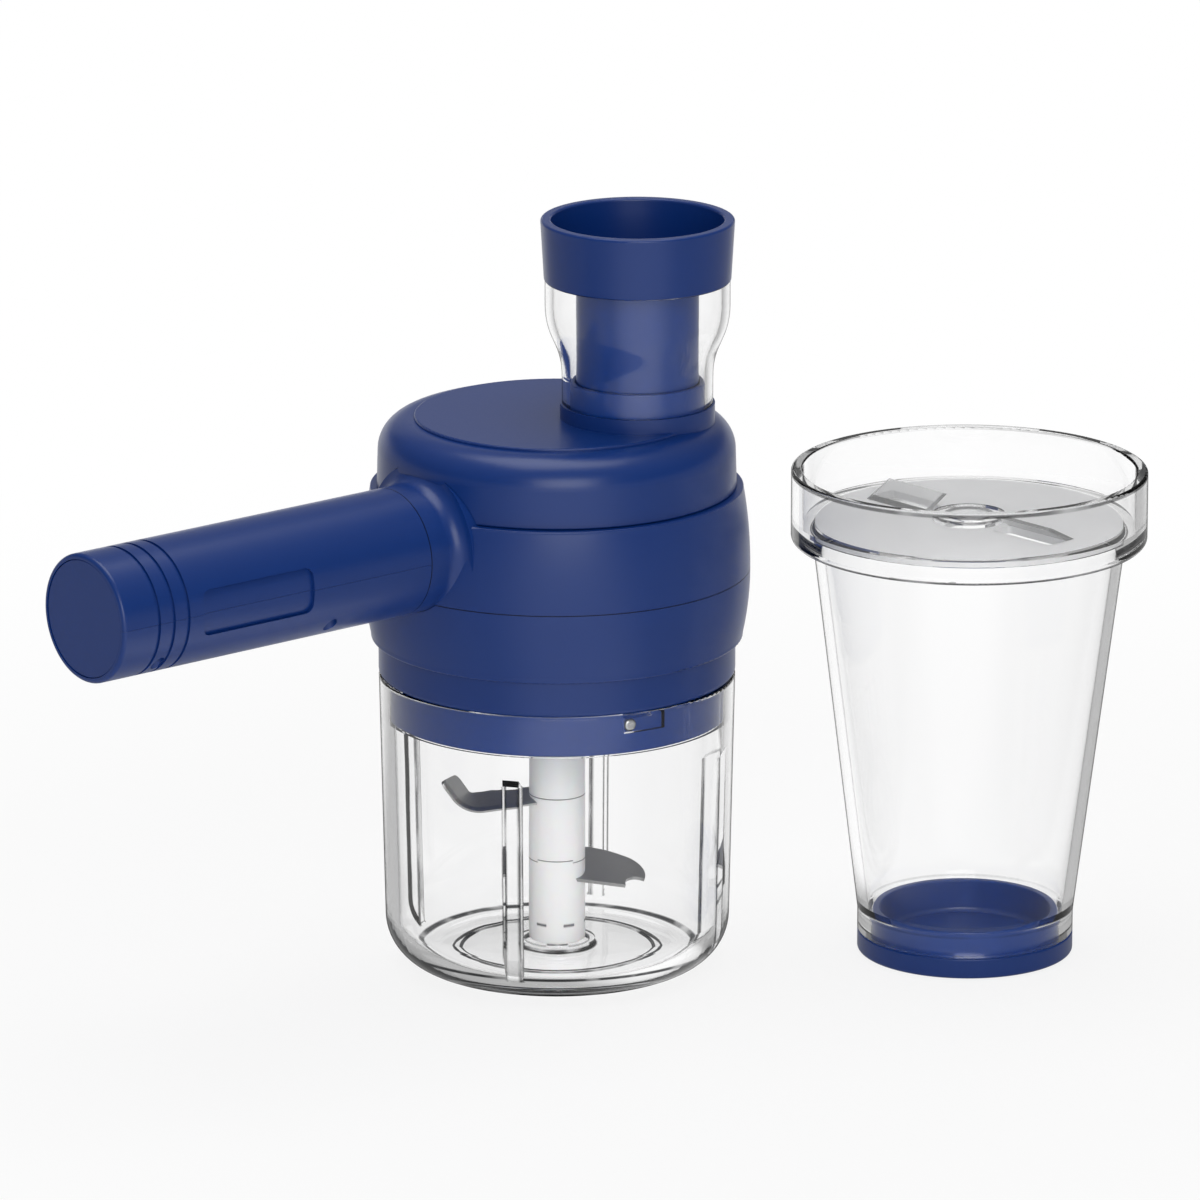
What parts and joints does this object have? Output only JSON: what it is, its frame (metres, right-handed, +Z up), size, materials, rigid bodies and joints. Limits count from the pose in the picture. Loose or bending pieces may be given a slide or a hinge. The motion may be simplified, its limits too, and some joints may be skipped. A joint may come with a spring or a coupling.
{
  "type": "food chopper",
  "caption": "Cordless hand-held food chopper with a round handle, feed tube and pusher on a clear bladed bowl, with a clear slicing cup beside it.",
  "frame": {"origin": "centre of the chopping bowl underside, on the table", "axes": "+Z up along the blade axis, handle along -X"},
  "size_m": [0.309, 0.1708, 0.2144],
  "materials": {
    "blue": "satin moulded navy plastic",
    "blue_inner": "moulded navy plastic",
    "clear_bowl": "clear moulded plastic",
    "clear_tube": "clear moulded plastic",
    "clear_cup": "clear moulded plastic",
    "clear_blade": "clear moulded plastic",
    "frosted": "frosted translucent plastic",
    "white": "white moulded plastic",
    "steel": "plain steel",
    "blade": "ground stainless steel",
    "brass": "turned brass",
    "black": "black moulded plastic",
    "board": "green circuit board",
    "cell": "wrapped rechargeable cell",
    "motor": "plated motor can",
    "seal": "black rubber"
  },
  "bodies": {
    "bowl": {"chopping_bowl": "clear_bowl", "bowl_pivot_pin": "steel"},
    "head": {"coupling_ring": "blue", "bayonet_pins": "steel", "lower_housing": "blue", "upper_housing": "blue", "top_cover": "blue", "chute_liner": "blue_inner", "feed_tube": "clear_tube", "handle_upper_shell": "blue", "handle_lower_shell": "blue", "handle_end_cap": "blue", "microswitch": "black", "control_board": "board", "charge_socket": "steel", "battery_cell": "cell", "battery_contacts": "brass", "motor_plate": "steel", "motor_can": "motor", "motor_end_bell": "black", "motor_screws": "steel", "spindle_bushes": "brass", "shaft_seal": "seal", "housing_screws": "steel", "handle_screws": "steel"},
    "spindle": {"drive_shaft": "steel", "crown_gear": "white", "drive_coupling": "white", "blade_hub": "white", "upper_blade": "blade", "lower_blade": "blade"},
    "rotor": {"motor_shaft": "steel", "drive_pinion": "brass"},
    "pusher_body": {"pusher": "blue"},
    "trigger": {"trigger_button": "blue", "switch_plunger": "black"},
    "cup_base": {"cup_base_cap": "blue"},
    "cup": {"slicing_cup": "clear_cup"},
    "slicer": {"slicing_disc": "frosted", "disc_hub": "frosted", "slicing_blades": "clear_blade"}
  },
  "joints": [
    {"name": "head_twist", "type": "hinge", "parent": "bowl", "child": "head", "pos_m": [0, 0, 0.0842], "axis": [0, 0, 1], "range_deg": [0, 10]},
    {"name": "spindle_spin", "type": "hinge", "parent": "head", "child": "spindle", "pos_m": [0, 0, 0.1], "axis": [0, 0, 1], "continuous": true},
    {"name": "rotor_spin", "type": "hinge", "parent": "head", "child": "rotor", "pos_m": [0, 0, 0.1287], "axis": [-1, 0, 0], "continuous": true},
    {"name": "pusher_lift", "type": "slide", "parent": "head", "child": "pusher_body", "axis": [0, 0, 1], "range_m": [0, 0.035]},
    {"name": "trigger_press", "type": "slide", "parent": "head", "child": "trigger", "axis": [0, 0, 1], "range_m": [0, 0.0015], "stiffness_N_per_m": 600},
    {"name": "cup_lift", "type": "slide", "parent": "bowl", "child": "cup_base", "axis": [0, 0, 1], "range_m": [0, 0.06]},
    {"name": "cup_pull_off", "type": "slide", "parent": "cup_base", "child": "cup", "axis": [0, 0, 1], "range_m": [0, 0.02]},
    {"name": "slicer_spin", "type": "hinge", "parent": "cup", "child": "slicer", "pos_m": [0.09403, -0.06707, 0.125], "axis": [0, 0, 1], "continuous": true}
  ],
  "couplings": [
    {"joint": "rotor_spin", "follows": "spindle_spin", "ratio": 2.4}
  ]
}
